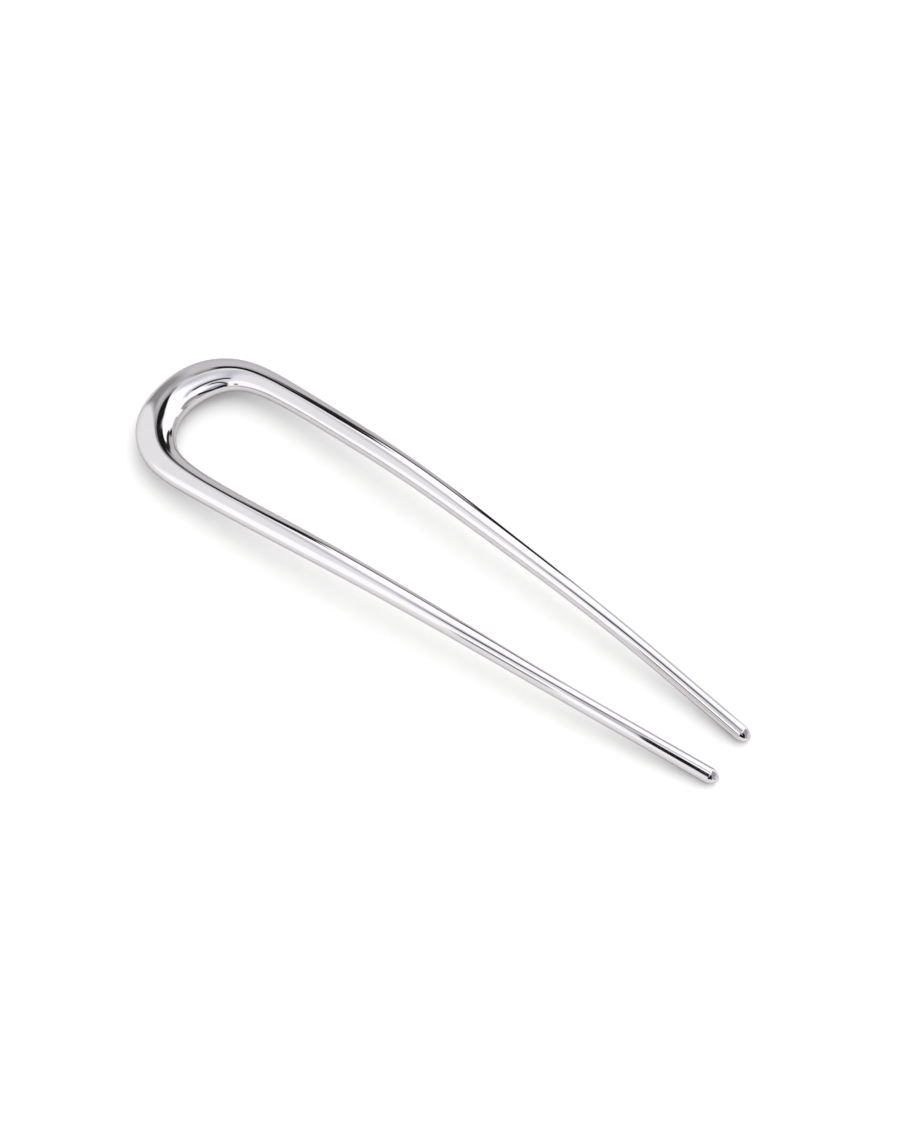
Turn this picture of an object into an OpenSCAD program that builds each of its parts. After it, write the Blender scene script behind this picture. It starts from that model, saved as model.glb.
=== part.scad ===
/* [Overall size] */
// Length from the outside of the bow to the ends of the tips
pin_length = 120; // [100:1:150]
// Greatest distance between the centre lines of the two legs
leg_spread = 24; // [20:0.5:30]
// Height of the gap under the middle of the legs when the pin lies on a table
arch_rise = 4.2; // [0:0.1:7]

/* [Bar] */
// Width of the bar at the crown of the bow, seen from above
bow_width = 7.4; // [5:0.1:9]
// Thickness of the bar at the crown of the bow, seen from the side
bow_thickness = 5; // [4:0.1:7]
// Diameter of each leg at its tip
tip_diameter = 2.7; // [2:0.1:3.5]
// Length of the blunt end of each leg, past the crease that it begins with
tip_reach = 1.6; // [0.8:0.1:2]
// Angle up the ellipsoid that this end is cut from: 0 gives no crease, and more a sharper one
cap_angle = 40; // [0:1:70]

/* [Hidden] */

// One half of the pin, as shares of the sizes above. Row 0 is the crown of the bow, the last row is where
// the blunt tip begins, and the distance from the crown grows with the square of the row's number.
//   spread  distance between the legs, as a share of leg_spread
//   rise    gap under the bar, as a share of arch_rise
//   broad   width of the bar, from 0 at tip_diameter to 1 at bow_width
//   deep    thickness of the bar, from 0 at tip_diameter to 1 at bow_thickness
SPREAD = 0;
RISE = 1;
BROAD = 2;
DEEP = 3;
STATIONS = [
    // spread, rise, broad, deep
    [0.00, 0.00, 1.00, 1.00],
    [0.53, 0.14, 0.98, 0.91],
    [0.91, 0.30, 0.68, 0.70],
    [1.00, 0.48, 0.44, 0.57],
    [0.97, 0.74, 0.38, 0.48],
    [0.90, 1.00, 0.31, 0.39],
    [0.78, 0.92, 0.16, 0.26],
    [0.63, 0.60, 0.03, 0.11],
    [0.39, 0.00, 0.00, 0.00],
];

last = len(STATIONS) - 1;
tip_radius = tip_diameter / 2;
// From the centre of the crown to the crease of each tip
axis_length = pin_length - bow_width / 2 - tip_reach;
crown_x = bow_width / 2 - pin_length / 2;

// Corners of the bar's section, rings between two stations, and rings on each end
section_sides = 24;
rings_per_station = 6;
tip_rings = 5;

// One column of the table along the whole bar, from tip to tip. mirror_sign is -1 where the two legs differ
// in sign and 1 where they are alike.
function along_bar(column, mirror_sign) = [
    for (row = [-last:last]) (row < 0 ? mirror_sign : 1) * STATIONS[abs(row)][column]
];

// A smooth curve through evenly spaced values, made of cubics that share slope and bend where they meet and
// are straight at both ends. bends() gives the bend at each value: each bend, four times itself and the two
// next to it add up to six times the kink there. It is solved by a pass forwards and a pass back.
function kink(v, i) = 6 * (v[i - 1] - 2 * v[i] + v[i + 1]);
function pass_forwards(v, i = 1, c = 0, d = 0) =
    i == len(v) - 1 ? [] :
    let (c_here = 1 / (4 - c), d_here = (kink(v, i) - d) * c_here)
    concat([[c_here, d_here]], pass_forwards(v, i + 1, c_here, d_here));
function pass_back(rows, i = 0) =
    i == len(rows) ? [0] :
    let (rest = pass_back(rows, i + 1))
    concat([rows[i][1] - rows[i][0] * rest[0]], rest);
function bends(v) = concat([0], pass_back(pass_forwards(v)));

function piece_of(v, t) = min(floor(t), len(v) - 2);
function curve_at(v, m, t) =
    let (i = piece_of(v, t), f = t - i, g = 1 - f)
    g * v[i] + f * v[i + 1] + ((g ^ 3 - g) * m[i] + (f ^ 3 - f) * m[i + 1]) / 6;
function slope_at(v, m, t) =
    let (i = piece_of(v, t), f = t - i, g = 1 - f)
    v[i + 1] - v[i] + ((1 - 3 * g ^ 2) * m[i] + (3 * f ^ 2 - 1) * m[i + 1]) / 6;

spread_values = along_bar(SPREAD, -1) * leg_spread / 2;
width_values = [for (share = along_bar(BROAD, 1)) tip_diameter + (bow_width - tip_diameter) * share];
depth_values = [for (share = along_bar(DEEP, 1)) tip_diameter + (bow_thickness - tip_diameter) * share];
// The middle of the bar stands half its thickness over its underside
height_values = along_bar(RISE, 1) * arch_rise + depth_values / 2;
spread_bends = bends(spread_values);
width_bends = bends(width_values);
depth_bends = bends(depth_values);
height_bends = bends(height_values);

// t runs from 0 at one tip to 2 * last at the other, with the crown at last
function middle(t) = [
    crown_x + axis_length * ((t - last) / last) ^ 2,
    curve_at(spread_values, spread_bends, t),
    curve_at(height_values, height_bends, t),
];
function heading(t) =
    let (run = [
        2 * axis_length * (t - last) / last ^ 2,
        slope_at(spread_values, spread_bends, t),
        slope_at(height_values, height_bends, t),
    ])
    run / norm(run);

// One oval ring of points round a centre, square to the heading
function ring(centre, heading_here, half_width, half_depth) =
    let (
        across = cross([0, 0, 1], heading_here),
        side = across / norm(across),
        up = cross(heading_here, side)
    )
    [for (k = [0:section_sides - 1])
        let (a = 360 * k / section_sides)
        centre + side * half_width * cos(a) + up * half_depth * sin(a)];

function bar_ring(t) = ring(
    middle(t),
    heading(t),
    curve_at(width_values, width_bends, t) / 2,
    curve_at(depth_values, depth_bends, t) / 2
);

// Each leg ends in a cap cut from an ellipsoid, which meets the bar at the crease. Its rings go by their
// angle up the ellipsoid: cap_angle at the crease and 90 at the end of the leg. outwards is the sign that
// turns the heading towards that end.
function cap_reach(angle) = tip_reach * (sin(angle) - sin(cap_angle)) / (1 - sin(cap_angle));
function cap_radius(angle) = tip_radius * cos(angle) / cos(cap_angle);
function tip_centre(t, outwards, angle) = middle(t) + heading(t) * outwards * cap_reach(angle);
function tip_ring(t, outwards, angle) = ring(
    tip_centre(t, outwards, angle),
    heading(t),
    cap_radius(angle),
    cap_radius(angle)
);

tip_angles = [for (k = [1:tip_rings]) cap_angle + (90 - cap_angle) * k / (tip_rings + 1)];

// The whole bar, bow and both legs, as one closed skin over its rings
module hair_pin() {
    rings = concat(
        [for (k = [tip_rings - 1:-1:0]) tip_ring(0, -1, tip_angles[k])],
        [for (k = [0:2 * last * rings_per_station]) bar_ring(k / rings_per_station)],
        [for (k = [0:tip_rings - 1]) tip_ring(2 * last, 1, tip_angles[k])]
    );
    ring_count = len(rings);
    first_end = ring_count * section_sides;
    points = concat(
        [for (r = rings) each r],
        [tip_centre(0, -1, 90), tip_centre(2 * last, 1, 90)]
    );
    function corner(r, k) = r * section_sides + k % section_sides;
    skin = [
        for (r = [0:ring_count - 2], k = [0:section_sides - 1])
            each [
                [corner(r, k), corner(r + 1, k), corner(r + 1, k + 1)],
                [corner(r, k), corner(r + 1, k + 1), corner(r, k + 1)],
            ]
    ];
    ends = [
        for (k = [0:section_sides - 1])
            each [
                [first_end, corner(0, k), corner(0, k + 1)],
                [first_end + 1, corner(ring_count - 1, k + 1), corner(ring_count - 1, k)],
            ]
    ];
    color("silver")
        polyhedron(points, concat(skin, ends), convexity = 4);
}

hair_pin();
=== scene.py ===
"""A polished metal hair pin, one bar bent into a bow with two slim legs, on a white table in a studio."""
import math
from collections import namedtuple

import bpy
import numpy as np
from bpy.props import FloatProperty, FloatVectorProperty, IntProperty, PointerProperty
from mathutils import Matrix, Vector


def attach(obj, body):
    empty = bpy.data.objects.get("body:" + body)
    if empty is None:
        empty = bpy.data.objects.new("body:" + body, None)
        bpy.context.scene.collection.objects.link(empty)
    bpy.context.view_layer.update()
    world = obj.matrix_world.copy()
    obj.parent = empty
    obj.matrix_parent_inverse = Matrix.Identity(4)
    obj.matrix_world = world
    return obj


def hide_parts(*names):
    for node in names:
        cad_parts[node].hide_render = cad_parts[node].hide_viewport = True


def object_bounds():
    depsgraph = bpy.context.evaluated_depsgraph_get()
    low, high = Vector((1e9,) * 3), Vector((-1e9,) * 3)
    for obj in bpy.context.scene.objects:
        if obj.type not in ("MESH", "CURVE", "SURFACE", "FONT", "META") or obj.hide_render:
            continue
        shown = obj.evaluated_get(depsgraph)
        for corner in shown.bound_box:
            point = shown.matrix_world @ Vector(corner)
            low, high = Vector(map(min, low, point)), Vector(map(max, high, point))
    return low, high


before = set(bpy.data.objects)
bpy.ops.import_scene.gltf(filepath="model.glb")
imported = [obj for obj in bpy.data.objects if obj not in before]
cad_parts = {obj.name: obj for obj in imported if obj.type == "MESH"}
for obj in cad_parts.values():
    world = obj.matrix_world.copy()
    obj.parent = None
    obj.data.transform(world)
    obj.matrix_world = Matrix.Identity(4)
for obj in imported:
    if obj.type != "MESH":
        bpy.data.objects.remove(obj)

bl_info = {
    "name": "French Hair Pin",
    "version": (1, 0, 0),
    "blender": (4, 5, 0),
    "location": "View3D > Sidebar > Hair Pin",
    "description": "Builds a polished hair pin and the studio that it is shown in",
    "category": "Object",
}

MILLIMETRE = 0.001
RIGHT_ANGLE = 90.0
CAD_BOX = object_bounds()
CAD_SIZE = CAD_BOX[1] - CAD_BOX[0]
PIN_NODE = "hair_pin"
METAL_SLOT = "polished_metal"

# One half of the pin, as shares of the sizes in PinSizes. Row 0 is the crown of the bow, and the last row is
# where the blunt tip begins. The distance from the crown grows with the square of the row's number.
#   spread  distance between the legs, as a share of leg_spread
#   rise    gap under the bar, as a share of arch_rise
#   broad   width of the bar, from 0 at tip_diameter to 1 at bow_width
#   deep    thickness of the bar, from 0 at tip_diameter to 1 at bow_thickness
SPREAD, RISE, BROAD, DEEP = range(4)
STATIONS = np.array([
    # spread, rise, broad, deep
    [0.00, 0.00, 1.00, 1.00],
    [0.53, 0.14, 0.98, 0.91],
    [0.91, 0.30, 0.68, 0.70],
    [1.00, 0.48, 0.44, 0.57],
    [0.97, 0.74, 0.38, 0.48],
    [0.90, 1.00, 0.31, 0.39],
    [0.78, 0.92, 0.16, 0.26],
    [0.63, 0.60, 0.03, 0.11],
    [0.39, 0.00, 0.00, 0.00],
])

# A card is a soft rectangle of light or dark, laid on a plan.
#   right, away              its middle, towards the camera's right and away from the camera
#   half_length, half_width  its size
#   turn                     degrees that it is turned to the left
#   bend                     lift of its middle line, in hundredths of the squared distance from its middle
#   soft_ends, soft_sides    width over which its edges fade
#   brightness, warmth       its light, where a warmth over 0 is redder and one under 0 is bluer
Card = namedtuple("Card", (
    "name", "right", "away", "half_length", "half_width", "turn", "bend",
    "soft_ends", "soft_sides", "brightness", "warmth",
))

# What the metal mirrors: cards on the inside of a low dome round the pin, seen from the dome's middle with
# its reach and height made one. The plan is in degrees from straight up, and the table is 90 degrees out.
# Later rows cover earlier ones.
DOME_CARDS = [
    # name, right, away, half length, half width, turn, bend, soft ends, soft sides, brightness, warmth
    Card("ceiling", 34, 25, 110, 60, 115, 0.0, 4, 18, 1.27, 0.00),
    Card("left_light", -70, -24, 46, 14, 127, 0.0, 20, 9, 1.24, 0.00),
    Card("end_rim", 84, -24, 75, 30, 68, 0.0, 8, 6, 0.72, 0.00),
    Card("end_grey", 57, -13, 52, 13, 68, 0.37, 6, 4, 0.38, 0.00),
    Card("lavender", -43, 18, 30, 5, 97, 0.0, 16, 14, 0.62, -0.05),
    Card("blue_halo", -8, 7, 28, 10, 15, 0.0, 20, 20, 0.62, -0.06),
    Card("grey_halo", -24, -28, 18, 7, 53, 0.0, 12, 12, 0.60, 0.00),
    Card("streak", -23, -4, 22, 6.5, 12, 0.0, 8, 6, 0.03, -0.12),
    Card("side_flag", -63, -46, 8, 5, -50, 0.0, 5, 5, 0.22, 0.00),
    Card("wall_right", -10, 83, 16, 10, 4, 0.0, 3, 2, 0.28, 0.00),
    Card("wall", -45, 71, 19, 14, 38, 0.0, 3, 2, 0.30, 0.00),
    Card("wall_end", -61, 64, 14, 13, -4, 0.0, 3, 3, 0.32, 0.00),
    Card("glow_right", -16, 88, 18, 10, 4, 0.0, 8, 6, 0.55, 0.00),
    Card("glow", -48, 75, 22, 14, 38, 0.0, 6, 8, 0.66, 0.00),
    Card("glow_end", -64, 71, 17, 12, -4, 0.0, 6, 8, 0.66, 0.00),
    Card("foot", -33, 67, 9, 2.6, 42, 0.0, 3, 2, 0.02, 0.00),
    Card("foot_right", -12, 74, 15, 2.8, 5, 0.0, 4, 2, 0.02, 0.00),
    Card("corner", -38, 59, 12, 2.8, 25, 0.0, 3, 1.4, 0.01, 0.00),
    Card("far_edge", 34, 80, 18, 7, -30, 0.0, 3, 4, 0.42, -0.02),
    Card("far_flag", 12, 85, 8, 9, -4, 0.0, 3, 3, 0.01, 0.00),
    Card("haze", 8, -66, 45, 16, 0, 0.0, 18, 16, 0.44, -0.06),
    Card("end_flag", 18, -67, 24, 8, 60, 0.0, 4, 3, 0.01, 0.00),
    Card("near_flag", -24, -40, 22, 4.2, 53, 0.0, 4, 1, 0.01, 0.00),
    Card("front_flag", -16, -76, 22, 12, -20, 0.0, 5, 4, 0.01, 0.00),
]

# Painted reflection of the table: how bright the metal mirrors the table, a tone that only mirrored rays
# see, on a plan in millimetres from the middle of the pin. Its far part is painted greyer, and a painted
# dark patch past the legs gives them their thin dark outlines.
PAINTED_TABLE_REFLECTION = [
    Card("painted_far_grey", 0, 260, 300, 200, 0, 0.0, 20, 50, 0.40, 0.00),
    Card("painted_dark_patch", 49, 79, 68, 15, 65, 0.0, 10, 8, 0.01, 0.00),
]

# What lights the table, far away, on a plan in degrees from straight up.
ROOM_CARDS = [
    Card("key_softbox", 34, 24, 42, 42, 0, 0.0, 30, 30, 2.20, 0.00),
    Card("left_softbox", -58, -38, 24, 14, -52, 0.0, 14, 8, 1.50, 0.00),
]

# Polishing lines and handling marks of the plating: their length or spacing, where they begin and are full
# on the range of their noise, and their share of the wear
LINE_LENGTH = 40 * MILLIMETRE
LINE_RANGE = (0.56, 0.74)
LINE_WEAR = 0.35
MARK_SPACING = 9 * MILLIMETRE
MARK_RANGE = (0.52, 0.72)
MARK_WEAR = 0.30

# Height of the waves that buffing leaves, and the depth of a polishing line as a share of it
WAVE_HEIGHT = 0.02 * MILLIMETRE
LINE_DEPTH = 0.02

# Mottle of the table: its size, its range of the noise, and how bright its darker parts are
MOTTLE_SIZE = 2 * MILLIMETRE
MOTTLE_RANGE = (0.3, 0.7)
MOTTLE_SHADE = 0.985

# Corners of the round table top and of each ring of the dome, rings of the dome, and the camera's frame in
# millimetres
TABLE_SIDES = 128
DOME_SIDES = 96
DOME_RINGS = 32
FRAME_SIZE = 36.0


class PinSizes(bpy.types.PropertyGroup):
    """Real sizes of the pin, in metres."""

    pin_length: FloatProperty(
        name="Length", description="From the outside of the bow to the ends of the tips",
        default=CAD_SIZE.x, min=0.1, max=0.15, subtype="DISTANCE", unit="LENGTH")
    leg_spread: FloatProperty(
        name="Leg spread", description="Greatest distance between the centre lines of the two legs",
        default=24 * MILLIMETRE, min=0.02, max=0.03, subtype="DISTANCE", unit="LENGTH")
    arch_rise: FloatProperty(
        name="Arch rise", description="Gap under the middle of the legs when the pin lies on a table",
        default=4.2 * MILLIMETRE, min=0.0, max=0.007, subtype="DISTANCE", unit="LENGTH")
    bow_width: FloatProperty(
        name="Bow width", description="Width of the bar at the crown of the bow, seen from above",
        default=7.4 * MILLIMETRE, min=0.005, max=0.009, subtype="DISTANCE", unit="LENGTH")
    bow_thickness: FloatProperty(
        name="Bow thickness",
        description="Thickness of the bar at the crown of the bow, seen from the side",
        default=5 * MILLIMETRE, min=0.004, max=0.007, subtype="DISTANCE", unit="LENGTH")
    tip_diameter: FloatProperty(
        name="Tip diameter", description="Diameter of each leg at its tip",
        default=2.7 * MILLIMETRE, min=0.002, max=0.0035, subtype="DISTANCE", unit="LENGTH")
    tip_reach: FloatProperty(
        name="Tip reach",
        description="Length of the blunt end of each leg, past the crease that it begins with",
        default=1.6 * MILLIMETRE, min=0.0008, max=0.002, precision=4, subtype="DISTANCE", unit="LENGTH")
    cap_angle: FloatProperty(
        name="Cap angle", description="Angle up the ellipsoid that the blunt end is cut from",
        default=math.radians(40), min=0.0, max=math.radians(70), subtype="ANGLE", unit="ROTATION")
    crease_margin: FloatProperty(
        name="Crease margin", description="From the crease to the ring that keeps it crisp",
        default=0.04 * MILLIMETRE, min=0.00001, max=0.0005, precision=5, subtype="DISTANCE", unit="LENGTH")
    rings_per_station: IntProperty(
        name="Rings", description="Rings of the skin between two rows of the table",
        default=56, min=6, max=64)
    section_sides: IntProperty(
        name="Sides", description="Points round each ring of the skin", default=92, min=24, max=96)
    tip_rings: IntProperty(
        name="Tip rings", description="Rings on the blunt end of each leg", default=18, min=5, max=24)


class PinFinish(bpy.types.PropertyGroup):
    """Look of the polished plating."""

    metal_colour: FloatVectorProperty(
        name="Metal", description="Share of light that the plating mirrors when seen straight on",
        default=(0.80, 0.777, 0.797), min=0.0, max=1.0, size=3, subtype="COLOR")
    edge_tint: FloatProperty(
        name="Edge tint", description="Share of its gloss that the plating keeps where it is seen edge on",
        default=0.66, min=0.0, max=1.0)
    smudge_colour: FloatVectorProperty(
        name="Handled metal", description="The same where the plating is a little dulled by handling",
        default=(0.77, 0.75, 0.768), min=0.0, max=1.0, size=3, subtype="COLOR")
    gloss_roughness: FloatProperty(
        name="Polish", description="Roughness of clean plating", default=0.035, min=0.0, max=1.0)
    worn_roughness: FloatProperty(
        name="Wear", description="Roughness of the dullest handling marks", default=0.10, min=0.0, max=1.0)
    scratch_width: FloatProperty(
        name="Scratch width", description="Width of the finest polishing lines",
        default=0.06 * MILLIMETRE, min=0.00002, max=0.001, precision=5, subtype="DISTANCE", unit="LENGTH")
    wave_length: FloatProperty(
        name="Waviness", description="Length of the faint waves that buffing leaves in the surface",
        default=5 * MILLIMETRE, min=0.001, max=0.05, subtype="DISTANCE", unit="LENGTH")


class StudioSettings(bpy.types.PropertyGroup):
    """Table, surroundings and camera."""

    camera_azimuth: FloatProperty(
        name="Camera azimuth",
        description="Turn of the camera round the pin, from the side of the lower leg",
        default=math.radians(36.94), subtype="ANGLE", unit="ROTATION")
    camera_elevation: FloatProperty(
        name="Camera elevation", description="Angle of the camera over the table",
        default=math.radians(57.8), subtype="ANGLE", unit="ROTATION")
    camera_distance: FloatProperty(
        name="Camera distance", description="From the camera to the middle of the pin",
        default=0.375, min=0.1, max=3.0, subtype="DISTANCE", unit="LENGTH")
    focal_length: FloatProperty(
        name="Focal length", description="Lens of the camera in millimetres, on a frame 36 mm high",
        default=71.74, min=20.0, max=200.0)
    framing_right: FloatProperty(
        name="Shift right", description="Shift of the frame to the right, as a share of its height",
        default=0.0165, min=-0.1, max=0.1)
    framing_up: FloatProperty(
        name="Shift up", description="Shift of the frame upwards, as a share of its height",
        default=0.0081, min=-0.1, max=0.1)
    table_radius: FloatProperty(
        name="Table radius", description="Radius of the round white table top",
        default=3.0, min=0.5, max=10.0, subtype="DISTANCE", unit="LENGTH")
    table_colour: FloatVectorProperty(
        name="Table", description="Colour of the matt white table top",
        default=(0.86, 0.858, 0.855), min=0.0, max=1.0, size=3, subtype="COLOR")
    # Painted reflection: a darker table colour that only mirrored rays see, standing in for shade near the
    # pin
    painted_mirror_tone: FloatVectorProperty(
        name="Mirrored table", description="The same where the metal mirrors it",
        default=(0.66, 0.655, 0.65), min=0.0, max=1.0, size=3, subtype="COLOR")
    dome_reach: FloatProperty(
        name="Dome reach", description="Radius of the dome of reflections, along the table",
        default=0.168, min=0.1, max=2.0, subtype="DISTANCE", unit="LENGTH")
    dome_height: FloatProperty(
        name="Dome height", description="Height of the dome of reflections",
        default=0.266, min=0.1, max=2.0, subtype="DISTANCE", unit="LENGTH")
    dome_middle: FloatVectorProperty(
        name="Dome middle", description="Middle of the dome of reflections",
        default=(0.060, 0.014, 0.0), size=3, subtype="XYZ", unit="LENGTH")
    dome_colour: FloatVectorProperty(
        name="Dome", description="Light of the bare dome between its cards",
        default=(0.96, 0.96, 0.96), min=0.0, max=4.0, size=3, subtype="COLOR")
    room_colour: FloatVectorProperty(
        name="Room", description="Light from the pale walls round the table",
        default=(0.98, 0.98, 0.975), min=0.0, max=4.0, size=3, subtype="COLOR")
    backdrop_brightness: FloatProperty(
        name="Backdrop", description="Brightness of the plain white seen past the table's edge",
        default=1.0, min=0.0, max=4.0)


# Curves and the skin of the bar

def along_bar(column, mirror_sign):
    """One column of STATIONS from tip to tip. mirror_sign is -1 where the two legs differ in sign."""
    half = STATIONS[:, column]
    return np.concatenate([mirror_sign * half[:0:-1], half])


def smooth_curve(values, t):
    """Value and slope at t of the smooth curve through evenly spaced values.

    Between two values the curve is a cubic. Its bends are its second derivatives, which are 0 at both ends.
    Elsewhere four times a bend and the two next to it add up to six times the kink of the values there."""
    inner = len(values) - 2
    kinks = 6 * np.diff(values, 2)
    links = 4 * np.eye(inner) + np.eye(inner, k=1) + np.eye(inner, k=-1)
    bends = np.concatenate([[0], np.linalg.solve(links, kinks), [0]])
    i = np.minimum(np.floor(t).astype(int), len(values) - 2)
    f = t - i
    g = 1 - f
    value = g * values[i] + f * values[i + 1] + ((g**3 - g) * bends[i] + (f**3 - f) * bends[i + 1]) / 6
    slope = values[i + 1] - values[i] + ((1 - 3 * g**2) * bends[i] + (3 * f**2 - 1) * bends[i + 1]) / 6
    return value, slope


def unit(vectors):
    """The same vectors, one long."""
    return vectors / np.linalg.norm(vectors, axis=-1, keepdims=True)


def bar_rings(sizes):
    """Middles, headings, half widths and half thicknesses of the rings from tip to tip, and the end points.

    t runs from 0 at one crease over the crown to 2 * last at the other. The distance from the crown grows
    with (t - last) squared. The spread, height, width and thickness are smooth curves through STATIONS.

    Each tip is a cap cut from an ellipsoid at the cap angle c. Its ring at angle a up the ellipsoid stands
    past the crease by the tip's reach times (sin a - sin c) / (1 - sin c). The radius of that ring is the
    tip's radius times cos a / cos c."""
    last = len(STATIONS) - 1
    start = sizes.cap_angle
    axis_length = sizes.pin_length - sizes.bow_width / 2 - sizes.tip_reach
    crown_x = sizes.bow_width / 2 - sizes.pin_length / 2
    margin = sizes.crease_margin * last / (2 * axis_length)
    even = np.linspace(0, 2 * last, 2 * last * sizes.rings_per_station + 1)
    t = np.sort(np.append(even, [margin, 2 * last - margin]))

    width, _ = smooth_curve(
        sizes.tip_diameter + (sizes.bow_width - sizes.tip_diameter) * along_bar(BROAD, 1), t)
    depths = sizes.tip_diameter + (sizes.bow_thickness - sizes.tip_diameter) * along_bar(DEEP, 1)
    depth, _ = smooth_curve(depths, t)
    y, y_slope = smooth_curve(along_bar(SPREAD, -1) * sizes.leg_spread / 2, t)
    z, z_slope = smooth_curve(along_bar(RISE, 1) * sizes.arch_rise + depths / 2, t)
    x = crown_x + axis_length * ((t - last) / last) ** 2
    x_slope = 2 * axis_length * (t - last) / last**2

    middle = np.stack([x, y, z], axis=1)
    heading = unit(np.stack([x_slope, y_slope, z_slope], axis=1))
    angle = start + (np.pi / 2 - start) * np.arange(1, sizes.tip_rings + 1) / (sizes.tip_rings + 1)
    forth = (sizes.tip_reach * (np.sin(angle) - math.sin(start)) / (1 - math.sin(start)))[:, None]
    shrink = sizes.tip_diameter / 2 * np.cos(angle) / math.cos(start)
    first_tip = middle[0] - heading[0] * forth
    second_tip = middle[-1] + heading[-1] * forth
    return (
        np.concatenate([first_tip[::-1], middle, second_tip]),
        np.pad(heading, ((sizes.tip_rings, sizes.tip_rings), (0, 0)), mode="edge"),
        np.concatenate([shrink[::-1], width / 2, shrink]),
        np.concatenate([shrink[::-1], depth / 2, shrink]),
        np.stack([middle[0] - heading[0] * sizes.tip_reach, middle[-1] + heading[-1] * sizes.tip_reach]),
    )


def bar_skin(sizes):
    """Points of the skin on a grid of rings by sides, the two end points, and both surface coordinates.

    A point is its ring's middle, plus the sideways direction times half the width times cos(a), plus the
    upwards direction times half the thickness times sin(a), where a goes once round the ring. Sideways is
    level and square to the heading. along is the distance over the metal from one tip. around is the turn
    round the ring times the mean girth. Both are in metres."""
    middle, heading, half_width, half_depth, ends = bar_rings(sizes)
    side = unit(np.cross([0.0, 0.0, 1.0], heading))
    up = np.cross(heading, side)
    a = np.linspace(0, 2 * np.pi, sizes.section_sides, endpoint=False)
    points = (
        middle[:, None]
        + (side * half_width[:, None])[:, None] * np.cos(a)[None, :, None]
        + (up * half_depth[:, None])[:, None] * np.sin(a)[None, :, None]
    )
    steps = np.linalg.norm(np.diff(middle, axis=0), axis=1)
    along = np.concatenate([[0], np.cumsum(steps)])
    mean_girth = np.pi * (sizes.bow_width + sizes.tip_diameter) / 2
    around = np.linspace(0, mean_girth, sizes.section_sides + 1)
    return points, ends, along, around


def skin_faces(ring_count, sides):
    """Corner numbers of the skin's faces: squares between rings, and a fan of triangles at each end.

    The corners of each face run against the clock seen from outside, so every face points outwards."""
    ring = np.arange(ring_count - 1)[:, None]
    k = np.arange(sides)[None, :]
    following = (k + 1) % sides
    squares = np.stack([
        ring * sides + k,
        ring * sides + following,
        (ring + 1) * sides + following,
        (ring + 1) * sides + k,
    ], axis=-1).reshape(-1, 4)
    k = np.arange(sides)
    following = (k + 1) % sides
    first_end = ring_count * sides
    last_ring = (ring_count - 1) * sides
    first_fan = np.stack([np.full(sides, first_end), following, k], axis=-1)
    second_fan = np.stack([np.full(sides, first_end + 1), last_ring + k, last_ring + following], axis=-1)
    return squares, np.concatenate([first_fan, second_fan])


def skin_coordinates(along, around, ring_count, sides):
    """A pair (along, around) for each corner of each face, in the order of skin_faces."""
    ring, k = np.meshgrid(np.arange(ring_count - 1), np.arange(sides), indexing="ij")
    corners = [(0, 0), (0, 1), (1, 1), (1, 0)]
    squares = np.stack([
        np.stack([along[ring + step], around[k + turn]], axis=-1) for step, turn in corners
    ], axis=2).reshape(-1, 2)
    k = np.arange(sides)
    turns = [around[k], around[k + 1], around[k]]
    first_fan = np.stack([np.stack([np.full(sides, along[0]), v], -1) for v in turns], axis=1)
    turns = [around[k], around[k], around[k + 1]]
    second_fan = np.stack([np.stack([np.full(sides, along[-1]), v], -1) for v in turns], axis=1)
    return np.concatenate([squares, first_fan.reshape(-1, 2), second_fan.reshape(-1, 2)])


def fit_to_box(points, low, high):
    """The points brought inside the box, which finer rings pass by some thousandths of a millimetre."""
    own_low, own_high = points.min(axis=0), points.max(axis=0)
    share = np.minimum((high - low) / (own_high - own_low), 1.0)
    middle = (low + high) / 2
    return middle + (points - (own_low + own_high) / 2) * share


def new_mesh_object(name, points, faces, smooth=True):
    """A mesh object at the origin, with its place in its points."""
    mesh = bpy.data.meshes.new(name)
    mesh.from_pydata(points.tolist(), [], [f for group in faces for f in group.tolist()])
    mesh.polygons.foreach_set("use_smooth", np.full(len(mesh.polygons), smooth))
    mesh.update()
    piece = bpy.data.objects.new(name, mesh)
    bpy.context.scene.collection.objects.link(piece)
    return piece


# Node helpers

def new_node(tree, kind, **values):
    """A shader node with its properties set."""
    node = tree.nodes.new(kind)
    for name, value in values.items():
        setattr(node, name, value)
    return node


def feed(tree, socket, value):
    """Links a socket to an output, or sets its number."""
    if isinstance(value, bpy.types.NodeSocket):
        tree.links.new(value, socket)
    else:
        socket.default_value = value


def maths(tree, operation, *values):
    """Output of a Math node."""
    node = new_node(tree, "ShaderNodeMath", operation=operation)
    for socket, value in zip(node.inputs, values):
        feed(tree, socket, value)
    return node.outputs[0]


def blend_range(tree, value, low, high, to_low=0.0, to_high=1.0):
    """The value's smooth step from low to high, as a number from to_low to to_high."""
    node = new_node(tree, "ShaderNodeMapRange", interpolation_type="SMOOTHSTEP")
    names = ("Value", "From Min", "From Max", "To Min", "To Max")
    for name, amount in zip(names, (value, low, high, to_low, to_high)):
        feed(tree, node.inputs[name], amount)
    return node.outputs["Result"]


def mix_colours(tree, factor, first, second):
    """Output of a colour Mix node."""
    node = new_node(tree, "ShaderNodeMix", data_type="RGBA")
    feed(tree, node.inputs["Factor"], factor)
    feed(tree, node.inputs["A"], first)
    feed(tree, node.inputs["B"], second)
    return node.outputs["Result"]


def noise(tree, place, scale, detail, roughness=0.5):
    """Output of a Noise Texture node, from 0 to 1."""
    node = new_node(tree, "ShaderNodeTexNoise")
    for name, value in (("Vector", place), ("Scale", scale), ("Detail", detail), ("Roughness", roughness)):
        feed(tree, node.inputs[name], value)
    return node.outputs["Fac"]


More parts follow.
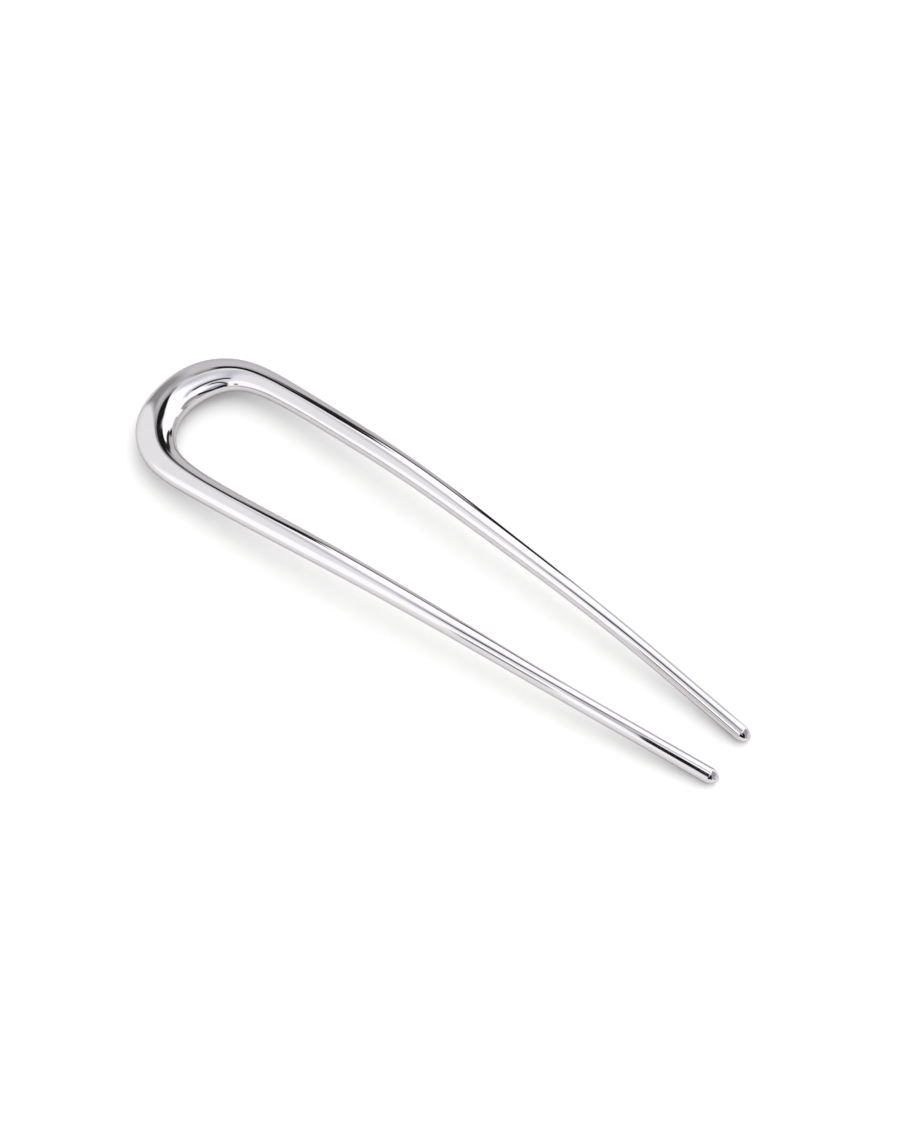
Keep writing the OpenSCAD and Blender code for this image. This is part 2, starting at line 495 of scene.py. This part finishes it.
def mapped(tree, place, kind, **values):
    """Output of a Mapping node. POINT applies the location, rotation and scale, and TEXTURE undoes them."""
    node = new_node(tree, "ShaderNodeMapping", vector_type=kind)
    tree.links.new(place, node.inputs["Vector"])
    for name, value in values.items():
        node.inputs[name.capitalize()].default_value = value
    return node.outputs["Vector"]


def opaque(colour):
    """Three numbers of a colour with a fourth for full cover."""
    return (*colour, 1.0)


# Materials

def plated_metal(finish, slot_name):
    """Mirror plating over polished casting.

    Noise in surface coordinates, stretched far along the bar, gives fine polishing lines. Broad noise gives
    dull handling marks, and very low, long waves bend the mirrored studio as buffed metal does."""
    material = bpy.data.materials.new(slot_name)
    material.use_nodes = True
    tree = material.node_tree
    shader = tree.nodes["Principled BSDF"]
    shader.inputs["Metallic"].default_value = 1.0
    shader.inputs["Specular Tint"].default_value = opaque([finish.edge_tint] * 3)

    skin = new_node(tree, "ShaderNodeUVMap", uv_map="skin").outputs["UV"]
    place = new_node(tree, "ShaderNodeTexCoord").outputs["Object"]

    stretched = mapped(tree, skin, "POINT", scale=(1 / LINE_LENGTH, 1 / finish.scratch_width, 1.0))
    line_noise = noise(tree, stretched, scale=1.0, detail=3.0)
    mark_noise = noise(tree, place, scale=1 / MARK_SPACING, detail=5.0, roughness=0.6)
    lines = blend_range(tree, line_noise, *LINE_RANGE)
    marks = blend_range(tree, mark_noise, *MARK_RANGE)
    line_wear = maths(tree, "MULTIPLY", lines, LINE_WEAR)
    mark_wear = maths(tree, "MULTIPLY", marks, MARK_WEAR)
    wear = maths(tree, "MAXIMUM", line_wear, mark_wear)
    feed(tree, shader.inputs["Roughness"],
         blend_range(tree, wear, 0.0, 1.0, finish.gloss_roughness, finish.worn_roughness))
    feed(tree, shader.inputs["Base Color"],
         mix_colours(tree, marks, opaque(finish.metal_colour), opaque(finish.smudge_colour)))

    waves = noise(tree, place, scale=1 / finish.wave_length, detail=1.0)
    height = maths(tree, "SUBTRACT", waves, maths(tree, "MULTIPLY", lines, LINE_DEPTH))
    bump = new_node(tree, "ShaderNodeBump")
    bump.inputs["Strength"].default_value = 1.0
    bump.inputs["Distance"].default_value = WAVE_HEIGHT
    tree.links.new(height, bump.inputs["Height"])
    tree.links.new(bump.outputs["Normal"], shader.inputs["Normal"])
    return material


# Studio

def fade(tree, distance, half_size, softness):
    """1 within half_size of the middle and 0 past it, with a smooth step of that softness between."""
    size = maths(tree, "ABSOLUTE", distance)
    return blend_range(tree, size, half_size - softness / 2, half_size + softness / 2, 1.0, 0.0)


def card_cover(tree, place, card):
    """How far a card covers a place on the plan, from 0 to 1.

    along and across are the place's distances from the card's middle, turned with the card. across loses the
    bend times the square of along."""
    turned = mapped(tree, place, "TEXTURE", location=(card.right, card.away, 0.0),
                    rotation=(0.0, 0.0, math.radians(card.turn)))
    parts = new_node(tree, "ShaderNodeSeparateXYZ")
    tree.links.new(turned, parts.inputs["Vector"])
    along, across = parts.outputs["X"], parts.outputs["Y"]
    if card.bend:
        lift = maths(tree, "MULTIPLY", maths(tree, "MULTIPLY", along, along), card.bend / 100)
        across = maths(tree, "SUBTRACT", across, lift)
    ends = fade(tree, along, card.half_length, card.soft_ends)
    sides = fade(tree, across, card.half_width, card.soft_sides)
    return maths(tree, "MULTIPLY", ends, sides)


def card_colour(card):
    """Grey light of the card's brightness, with red raised by its warmth and blue lowered by twice that."""
    red = card.brightness * (1 + card.warmth)
    blue = card.brightness * (1 - 2 * card.warmth)
    return opaque((red, card.brightness, blue))


def lay_cards(tree, place, ground, cards):
    """The ground colour with the cards laid on it one after another."""
    colour = opaque(ground)
    for card in cards:
        colour = mix_colours(tree, card_cover(tree, place, card), colour, card_colour(card))
    return colour


def painted_light(tree, direction, camera_azimuth, ground, cards):
    """The light that comes from a direction: the ground colour with the cards laid on it one after another.

    The direction's place on the plan is as far from the middle as it is from straight up, in degrees. The
    plan is turned so that right is the camera's right hand."""
    parts = new_node(tree, "ShaderNodeSeparateXYZ")
    tree.links.new(direction, parts.inputs["Vector"])
    bearing = maths(tree, "ARCTAN2", parts.outputs["Y"], parts.outputs["X"])
    azimuth = maths(tree, "SUBTRACT", bearing, camera_azimuth)
    climb = maths(tree, "DEGREES", maths(tree, "ARCSINE", parts.outputs["Z"]))
    reach = maths(tree, "SUBTRACT", RIGHT_ANGLE, climb)
    place = new_node(tree, "ShaderNodeCombineXYZ")
    feed(tree, place.inputs["X"], maths(tree, "MULTIPLY", reach, maths(tree, "COSINE", azimuth)))
    feed(tree, place.inputs["Y"], maths(tree, "MULTIPLY", reach, maths(tree, "SINE", azimuth)))
    return lay_cards(tree, place.outputs["Vector"], ground, cards)


def matt_table_with_painted_reflection(studio):
    """Matt white laminate with a faint, fine mottle. Mirrored rays see a darker painted reflection instead.
    """
    material = bpy.data.materials.new("matt_white_table_with_painted_reflection")
    material.use_nodes = True
    tree = material.node_tree
    shader = tree.nodes["Principled BSDF"]
    shader.inputs["Roughness"].default_value = 0.9
    shader.inputs["Specular IOR Level"].default_value = 0.0
    place = new_node(tree, "ShaderNodeTexCoord").outputs["Object"]
    mottle = blend_range(tree, noise(tree, place, scale=1 / MOTTLE_SIZE, detail=4.0), *MOTTLE_RANGE)
    darker = opaque([share * MOTTLE_SHADE for share in studio.table_colour])
    seen = mix_colours(tree, mottle, darker, opaque(studio.table_colour))
    # Painted reflection: the darker tone with the painted grey and dark patches of the table cards, which
    # mirrored rays see in place of shade
    plan = mapped(tree, place, "TEXTURE", rotation=(0.0, 0.0, studio.camera_azimuth), scale=[MILLIMETRE] * 3)
    mirrored = lay_cards(tree, plan, studio.painted_mirror_tone, PAINTED_TABLE_REFLECTION)
    in_mirror = new_node(tree, "ShaderNodeLightPath").outputs["Is Glossy Ray"]
    feed(tree, shader.inputs["Base Color"], mix_colours(tree, in_mirror, seen, mirrored))
    return material


def light_the_room(studio):
    """A world that lights the table. The camera itself sees plain white past the table's edge."""
    world = bpy.data.worlds.new("studio")
    world.use_nodes = True
    bpy.context.scene.world = world
    tree = world.node_tree
    direction = new_node(tree, "ShaderNodeTexCoord").outputs["Generated"]
    colour = painted_light(tree, direction, studio.camera_azimuth, studio.room_colour, ROOM_CARDS)
    plain = opaque([studio.backdrop_brightness] * 3)
    sight = new_node(tree, "ShaderNodeLightPath").outputs["Is Camera Ray"]
    feed(tree, tree.nodes["Background"].inputs["Color"], mix_colours(tree, sight, colour, plain))


def dome_light(studio):
    """Glow of the dome, painted by the direction from its middle with its reach and height made one."""
    material = bpy.data.materials.new("dome_light")
    material.use_nodes = True
    tree = material.node_tree
    tree.nodes.clear()
    place = new_node(tree, "ShaderNodeTexCoord").outputs["Object"]
    centred = mapped(tree, place, "TEXTURE", location=studio.dome_middle,
                     scale=(studio.dome_reach, studio.dome_reach, studio.dome_height))
    direction = new_node(tree, "ShaderNodeVectorMath", operation="NORMALIZE")
    tree.links.new(centred, direction.inputs[0])
    glow = new_node(tree, "ShaderNodeEmission")
    feed(tree, glow.inputs["Color"], painted_light(
        tree, direction.outputs["Vector"], studio.camera_azimuth, studio.dome_colour, DOME_CARDS))
    surface = new_node(tree, "ShaderNodeOutputMaterial")
    tree.links.new(glow.outputs["Emission"], surface.inputs["Surface"])
    material.cycles.emission_sampling = "NONE"
    return material


def raise_dome(studio):
    """Upper half of an ellipsoid round the pin, which only mirrored rays see.

    A point is the dome's middle plus its reach times cos(rise), turned by the azimuth, and its height times
    sin(rise). A fan of triangles closes the top."""
    azimuth = np.linspace(0, 2 * np.pi, DOME_SIDES, endpoint=False)[None, :]
    rise = (np.pi / 2 * np.arange(DOME_RINGS) / DOME_RINGS)[:, None]
    points = np.stack(np.broadcast_arrays(
        studio.dome_reach * np.cos(rise) * np.cos(azimuth),
        studio.dome_reach * np.cos(rise) * np.sin(azimuth),
        studio.dome_height * np.sin(rise),
    ), axis=-1).reshape(-1, 3)
    points = np.concatenate([points, [[0.0, 0.0, studio.dome_height]]]) + np.array(studio.dome_middle)
    ring = np.arange(DOME_RINGS - 1)[:, None] * DOME_SIDES
    k = np.arange(DOME_SIDES)[None, :]
    following = (k + 1) % DOME_SIDES
    squares = np.stack([
        ring + k, ring + following, ring + DOME_SIDES + following, ring + DOME_SIDES + k,
    ], axis=-1).reshape(-1, 4)
    last_ring = (DOME_RINGS - 1) * DOME_SIDES
    top = np.full(DOME_SIDES, DOME_RINGS * DOME_SIDES)
    fan = np.stack([last_ring + k[0], last_ring + following[0], top], axis=-1)
    dome = new_mesh_object("reflection_dome", points, [squares, fan])
    dome.data.materials.append(dome_light(studio))
    for kind in ("camera", "diffuse", "transmission", "volume_scatter", "shadow"):
        setattr(dome, "visible_" + kind, False)


def lay_table(studio):
    """A flat round table top at the height of 0: points on a ring, at the cosine and sine of even angles."""
    angle = np.linspace(0, 2 * np.pi, TABLE_SIDES, endpoint=False)
    rim = studio.table_radius * np.stack([np.cos(angle), np.sin(angle), np.zeros_like(angle)], axis=1)
    table = new_mesh_object("table_top", rim, [np.arange(len(rim))[None, :]], smooth=False)
    table.data.materials.append(matt_table_with_painted_reflection(studio))


def place_camera(studio):
    """A camera that looks at the middle of the pin from the photo's side and height."""
    data = bpy.data.cameras.new("camera")
    data.sensor_fit = "AUTO"
    data.sensor_width = FRAME_SIZE
    data.lens = studio.focal_length
    data.shift_x = studio.framing_right
    data.shift_y = studio.framing_up
    camera = bpy.data.objects.new("camera", data)
    bpy.context.scene.collection.objects.link(camera)
    a, e = studio.camera_azimuth, studio.camera_elevation
    back = Vector((math.sin(a) * math.cos(e), -math.cos(a) * math.cos(e), math.sin(e)))
    turn = (-back).to_track_quat("-Z", "Y").to_matrix().to_4x4()
    camera.matrix_world = Matrix.Translation(back * studio.camera_distance) @ turn
    bpy.context.scene.camera = camera


# Operators

class HAIRPIN_OT_stage(bpy.types.Operator):
    """Lay the white table, raise the dome of reflections, light the room and place the camera"""

    bl_idname = "hairpin.stage"
    bl_label = "Set up the studio"

    def execute(self, context):
        studio = context.scene.hair_pin_studio
        place_camera(studio)
        lay_table(studio)
        raise_dome(studio)
        light_the_room(studio)
        context.scene.view_settings.view_transform = "Standard"
        return {"FINISHED"}


class HAIRPIN_OT_bar(bpy.types.Operator):
    """Make the bent and tapered bar of the pin, with its bow, legs and blunt tips"""

    bl_idname = "hairpin.bar"
    bl_label = "Make the pin"

    def execute(self, context):
        sizes = context.scene.hair_pin_sizes
        points, ends, along, around = bar_skin(sizes)
        ring_count, sides = points.shape[:2]
        skin = np.concatenate([points.reshape(-1, 3), ends])
        skin = fit_to_box(skin, np.array(CAD_BOX[0]), np.array(CAD_BOX[1]))
        pin = new_mesh_object("polished_bar", skin, skin_faces(ring_count, sides))
        layer = pin.data.uv_layers.new(name="skin")
        layer.data.foreach_set("uv", skin_coordinates(along, around, ring_count, sides).ravel())
        pin.data.materials.append(plated_metal(context.scene.hair_pin_finish, METAL_SLOT))
        if pin.data.validate(verbose=True):
            raise RuntimeError("the skin of the bar has faulty faces")
        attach(pin, "root")
        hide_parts(PIN_NODE)
        return {"FINISHED"}


class HAIRPIN_PT_panel(bpy.types.Panel):
    """Sizes, finish and studio of the hair pin"""

    bl_idname = "HAIRPIN_PT_panel"
    bl_label = "Hair Pin"
    bl_space_type = "VIEW_3D"
    bl_region_type = "UI"
    bl_category = "Hair Pin"

    def draw(self, context):
        layout = self.layout
        scene = context.scene
        for settings in (scene.hair_pin_studio, scene.hair_pin_sizes, scene.hair_pin_finish):
            box = layout.box()
            for name in settings.__annotations__:
                box.prop(settings, name)
        layout.operator(HAIRPIN_OT_stage.bl_idname)
        layout.operator(HAIRPIN_OT_bar.bl_idname)


CLASSES = (PinSizes, PinFinish, StudioSettings, HAIRPIN_OT_stage, HAIRPIN_OT_bar, HAIRPIN_PT_panel)


def register():
    for cls in CLASSES:
        bpy.utils.register_class(cls)
    bpy.types.Scene.hair_pin_sizes = PointerProperty(type=PinSizes)
    bpy.types.Scene.hair_pin_finish = PointerProperty(type=PinFinish)
    bpy.types.Scene.hair_pin_studio = PointerProperty(type=StudioSettings)


def unregister():
    del bpy.types.Scene.hair_pin_studio
    del bpy.types.Scene.hair_pin_finish
    del bpy.types.Scene.hair_pin_sizes
    for cls in reversed(CLASSES):
        bpy.utils.unregister_class(cls)


def main():
    """Builds the stage and the pin."""
    register()
    bpy.ops.hairpin.stage()
    bpy.ops.hairpin.bar()


if __name__ == "__main__":
    main()
